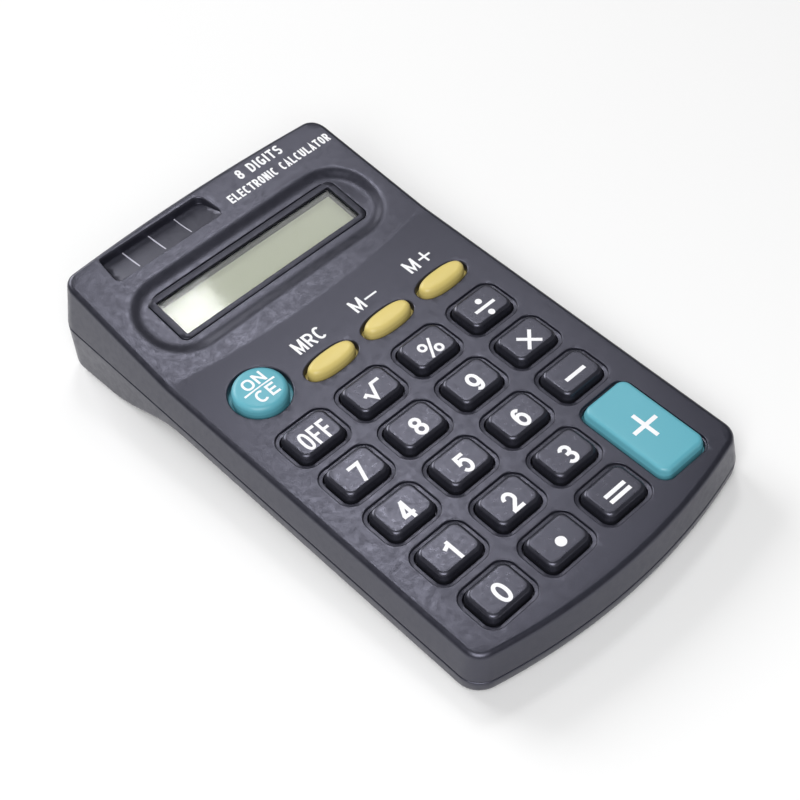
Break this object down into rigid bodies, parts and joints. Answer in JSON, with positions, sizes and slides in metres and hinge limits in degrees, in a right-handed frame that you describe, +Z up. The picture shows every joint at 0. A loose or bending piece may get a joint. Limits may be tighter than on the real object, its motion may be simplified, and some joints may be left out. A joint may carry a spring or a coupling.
{
  "type": "pocket calculator",
  "caption": "Wedge-shaped pocket calculator with a raised display end, sprung keys, an LCD window and an AA battery bay with a sliding door.",
  "frame": {"origin": "centre of the footprint, on the plane that the calculator stands on", "axes": "+X to the user's right, +Y from the front end to the display end, +Z up; the keypad face leans 4 degrees back from level"},
  "size_m": [0.0684, 0.1198, 0.0228],
  "materials": {
    "case_plastic": "fine spark texture, charcoal",
    "key_charcoal": "satin charcoal",
    "key_teal": "satin teal",
    "key_yellow": "satin yellow",
    "lens_acrylic": "clear gloss acrylic",
    "lcd_glass": "clear glass with a grey-green polariser",
    "lcd_reflector_film": "matte silver-green reflector film",
    "black_plastic": "matte black",
    "zebra_rubber": "layered silicone",
    "board_laminate": "phenolic paper laminate",
    "black_epoxy": "glossy potting drop",
    "component_body": "printed sleeve",
    "membrane_rubber": "translucent grey silicone",
    "cell_jacket": "plain shrink jacket",
    "spring_steel": "nickel plated",
    "red_insulation": "PVC",
    "black_insulation": "PVC",
    "screw_steel": "zinc plated"
  },
  "bodies": {
    "case": {"top_case": "case_plastic", "bottom_case": "case_plastic", "display_lens": "lens_acrylic", "lcd_front_glass": "lcd_glass", "lcd_rear_glass": "lcd_glass", "lcd_reflector": "lcd_reflector_film", "lcd_frame": "black_plastic", "zebra_strip": "zebra_rubber", "circuit_board": "board_laminate", "chip_blob": "black_epoxy", "board_components": "component_body", "key_membrane": "membrane_rubber", "battery_cell": "cell_jacket", "battery_spring": "spring_steel", "battery_contact": "spring_steel", "battery_lead_red": "red_insulation", "battery_lead_black": "black_insulation", "case_screws": "screw_steel", "board_screws": "screw_steel"},
    "battery_door": {"battery_door": "case_plastic"},
    "key_on_ce": {"key_on_ce": "key_teal"},
    "key_mrc": {"key_mrc": "key_yellow"},
    "key_m_minus": {"key_m_minus": "key_yellow"},
    "key_m_plus": {"key_m_plus": "key_yellow"},
    "key_off": {"key_off": "key_charcoal"},
    "key_sqrt": {"key_sqrt": "key_charcoal"},
    "key_percent": {"key_percent": "key_charcoal"},
    "key_divide": {"key_divide": "key_charcoal"},
    "key_7": {"key_7": "key_charcoal"},
    "key_8": {"key_8": "key_charcoal"},
    "key_9": {"key_9": "key_charcoal"},
    "key_multiply": {"key_multiply": "key_charcoal"},
    "key_4": {"key_4": "key_charcoal"},
    "key_5": {"key_5": "key_charcoal"},
    "key_6": {"key_6": "key_charcoal"},
    "key_minus": {"key_minus": "key_charcoal"},
    "key_1": {"key_1": "key_charcoal"},
    "key_2": {"key_2": "key_charcoal"},
    "key_3": {"key_3": "key_charcoal"},
    "key_plus": {"key_plus": "key_teal"},
    "key_0": {"key_0": "key_charcoal"},
    "key_point": {"key_point": "key_charcoal"},
    "key_equals": {"key_equals": "key_charcoal"}
  },
  "joints": [
    {"name": "battery_door_slide", "type": "slide", "parent": "case", "child": "battery_door", "axis": [0, 1, 0], "range_m": [0, 0.018]},
    {"name": "key_on_ce_press", "type": "slide", "parent": "case", "child": "key_on_ce", "axis": [0, 0.0698, -0.9976], "range_m": [0, 0.0008], "stiffness_N_per_m": 600, "springref_m": -0.0002},
    {"name": "key_mrc_press", "type": "slide", "parent": "case", "child": "key_mrc", "axis": [0, 0.0698, -0.9976], "range_m": [0, 0.0008], "stiffness_N_per_m": 600, "springref_m": -0.0002},
    {"name": "key_m_minus_press", "type": "slide", "parent": "case", "child": "key_m_minus", "axis": [0, 0.0698, -0.9976], "range_m": [0, 0.0008], "stiffness_N_per_m": 600, "springref_m": -0.0002},
    {"name": "key_m_plus_press", "type": "slide", "parent": "case", "child": "key_m_plus", "axis": [0, 0.0698, -0.9976], "range_m": [0, 0.0008], "stiffness_N_per_m": 600, "springref_m": -0.0002},
    {"name": "key_off_press", "type": "slide", "parent": "case", "child": "key_off", "axis": [0, 0.0698, -0.9976], "range_m": [0, 0.0008], "stiffness_N_per_m": 600, "springref_m": -0.0002},
    {"name": "key_sqrt_press", "type": "slide", "parent": "case", "child": "key_sqrt", "axis": [0, 0.0698, -0.9976], "range_m": [0, 0.0008], "stiffness_N_per_m": 600, "springref_m": -0.0002},
    {"name": "key_percent_press", "type": "slide", "parent": "case", "child": "key_percent", "axis": [0, 0.0698, -0.9976], "range_m": [0, 0.0008], "stiffness_N_per_m": 600, "springref_m": -0.0002},
    {"name": "key_divide_press", "type": "slide", "parent": "case", "child": "key_divide", "axis": [0, 0.0698, -0.9976], "range_m": [0, 0.0008], "stiffness_N_per_m": 600, "springref_m": -0.0002},
    {"name": "key_7_press", "type": "slide", "parent": "case", "child": "key_7", "axis": [0, 0.0698, -0.9976], "range_m": [0, 0.0008], "stiffness_N_per_m": 600, "springref_m": -0.0002},
    {"name": "key_8_press", "type": "slide", "parent": "case", "child": "key_8", "axis": [0, 0.0698, -0.9976], "range_m": [0, 0.0008], "stiffness_N_per_m": 600, "springref_m": -0.0002},
    {"name": "key_9_press", "type": "slide", "parent": "case", "child": "key_9", "axis": [0, 0.0698, -0.9976], "range_m": [0, 0.0008], "stiffness_N_per_m": 600, "springref_m": -0.0002},
    {"name": "key_multiply_press", "type": "slide", "parent": "case", "child": "key_multiply", "axis": [0, 0.0698, -0.9976], "range_m": [0, 0.0008], "stiffness_N_per_m": 600, "springref_m": -0.0002},
    {"name": "key_4_press", "type": "slide", "parent": "case", "child": "key_4", "axis": [0, 0.0698, -0.9976], "range_m": [0, 0.0008], "stiffness_N_per_m": 600, "springref_m": -0.0002},
    {"name": "key_5_press", "type": "slide", "parent": "case", "child": "key_5", "axis": [0, 0.0698, -0.9976], "range_m": [0, 0.0008], "stiffness_N_per_m": 600, "springref_m": -0.0002},
    {"name": "key_6_press", "type": "slide", "parent": "case", "child": "key_6", "axis": [0, 0.0698, -0.9976], "range_m": [0, 0.0008], "stiffness_N_per_m": 600, "springref_m": -0.0002},
    {"name": "key_minus_press", "type": "slide", "parent": "case", "child": "key_minus", "axis": [0, 0.0698, -0.9976], "range_m": [0, 0.0008], "stiffness_N_per_m": 600, "springref_m": -0.0002},
    {"name": "key_1_press", "type": "slide", "parent": "case", "child": "key_1", "axis": [0, 0.0698, -0.9976], "range_m": [0, 0.0008], "stiffness_N_per_m": 600, "springref_m": -0.0002},
    {"name": "key_2_press", "type": "slide", "parent": "case", "child": "key_2", "axis": [0, 0.0698, -0.9976], "range_m": [0, 0.0008], "stiffness_N_per_m": 600, "springref_m": -0.0002},
    {"name": "key_3_press", "type": "slide", "parent": "case", "child": "key_3", "axis": [0, 0.0698, -0.9976], "range_m": [0, 0.0008], "stiffness_N_per_m": 600, "springref_m": -0.0002},
    {"name": "key_plus_press", "type": "slide", "parent": "case", "child": "key_plus", "axis": [0, 0.0698, -0.9976], "range_m": [0, 0.0008], "stiffness_N_per_m": 600, "springref_m": -0.0002},
    {"name": "key_0_press", "type": "slide", "parent": "case", "child": "key_0", "axis": [0, 0.0698, -0.9976], "range_m": [0, 0.0008], "stiffness_N_per_m": 600, "springref_m": -0.0002},
    {"name": "key_point_press", "type": "slide", "parent": "case", "child": "key_point", "axis": [0, 0.0698, -0.9976], "range_m": [0, 0.0008], "stiffness_N_per_m": 600, "springref_m": -0.0002},
    {"name": "key_equals_press", "type": "slide", "parent": "case", "child": "key_equals", "axis": [0, 0.0698, -0.9976], "range_m": [0, 0.0008], "stiffness_N_per_m": 600, "springref_m": -0.0002}
  ]
}
